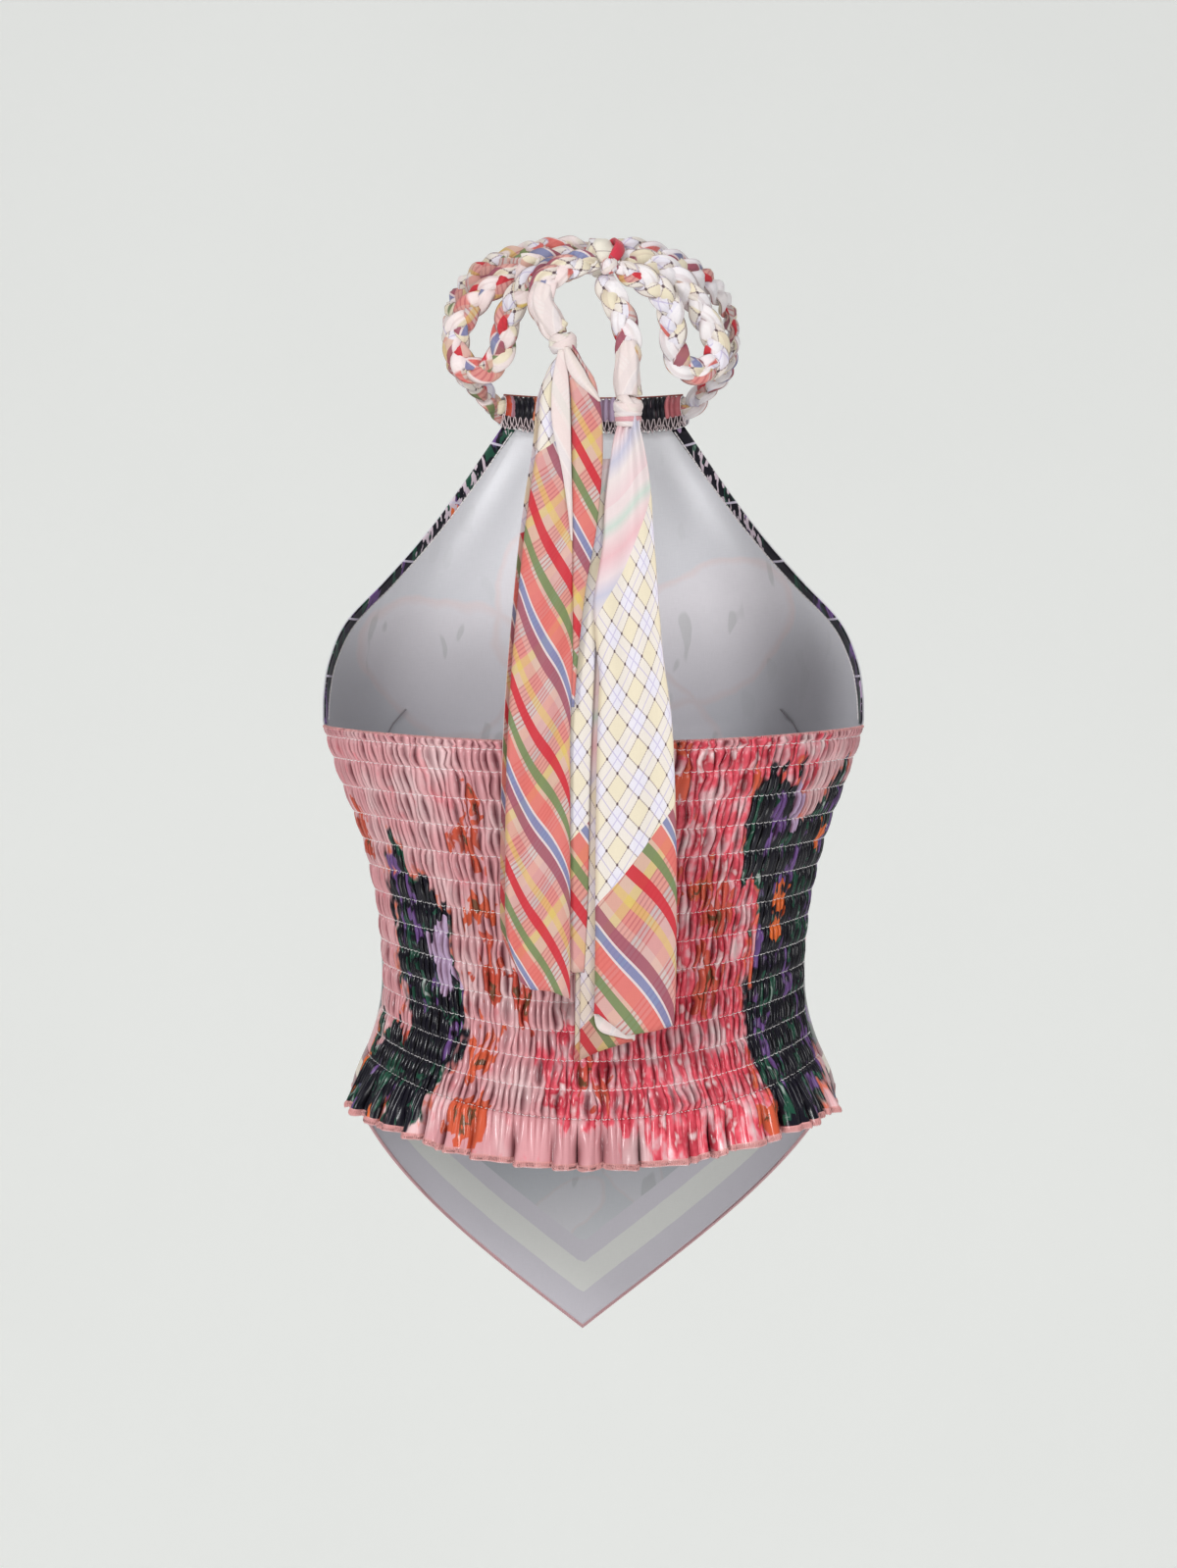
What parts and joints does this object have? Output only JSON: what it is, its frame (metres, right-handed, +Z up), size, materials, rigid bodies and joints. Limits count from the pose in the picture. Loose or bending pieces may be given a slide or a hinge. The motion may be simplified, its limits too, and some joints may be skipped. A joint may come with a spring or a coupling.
{
  "type": "halter-neck crop top",
  "caption": "Halter-neck crop top with a shirred elastic back, frilled back hem, pointed front hem and a plaited neck tie knotted in a bow.",
  "frame": {"origin": "middle of the wearer's neck, level with the knot at the nape", "axes": "+X to the wearer's right, +Y to the wearer's front, +Z up"},
  "size_m": [0.2992, 0.2424, 0.6068],
  "materials": {
    "front_satin": "satin, print face outward, pale reverse side inward",
    "floral_satin": "shirred floral print satin",
    "casing_satin": "gathered floral print satin",
    "tie_cotton": "woven check scarf cloth"
  },
  "bodies": {
    "root": {"front_panel": "front_satin", "back_panel": "floral_satin", "neck_casing": "casing_satin", "neck_strap_left": "tie_cotton", "neck_strap_right": "tie_cotton", "bow_knot": "tie_cotton", "bow_loop_left": "tie_cotton", "bow_loop_right": "tie_cotton", "tail_braid_left": "tie_cotton", "tail_braid_right": "tie_cotton", "tail_knot_left": "tie_cotton", "tail_knot_right": "tie_cotton", "tail_cloth_left": "tie_cotton", "tail_cloth_right": "tie_cotton"}
  },
  "joints": []
}
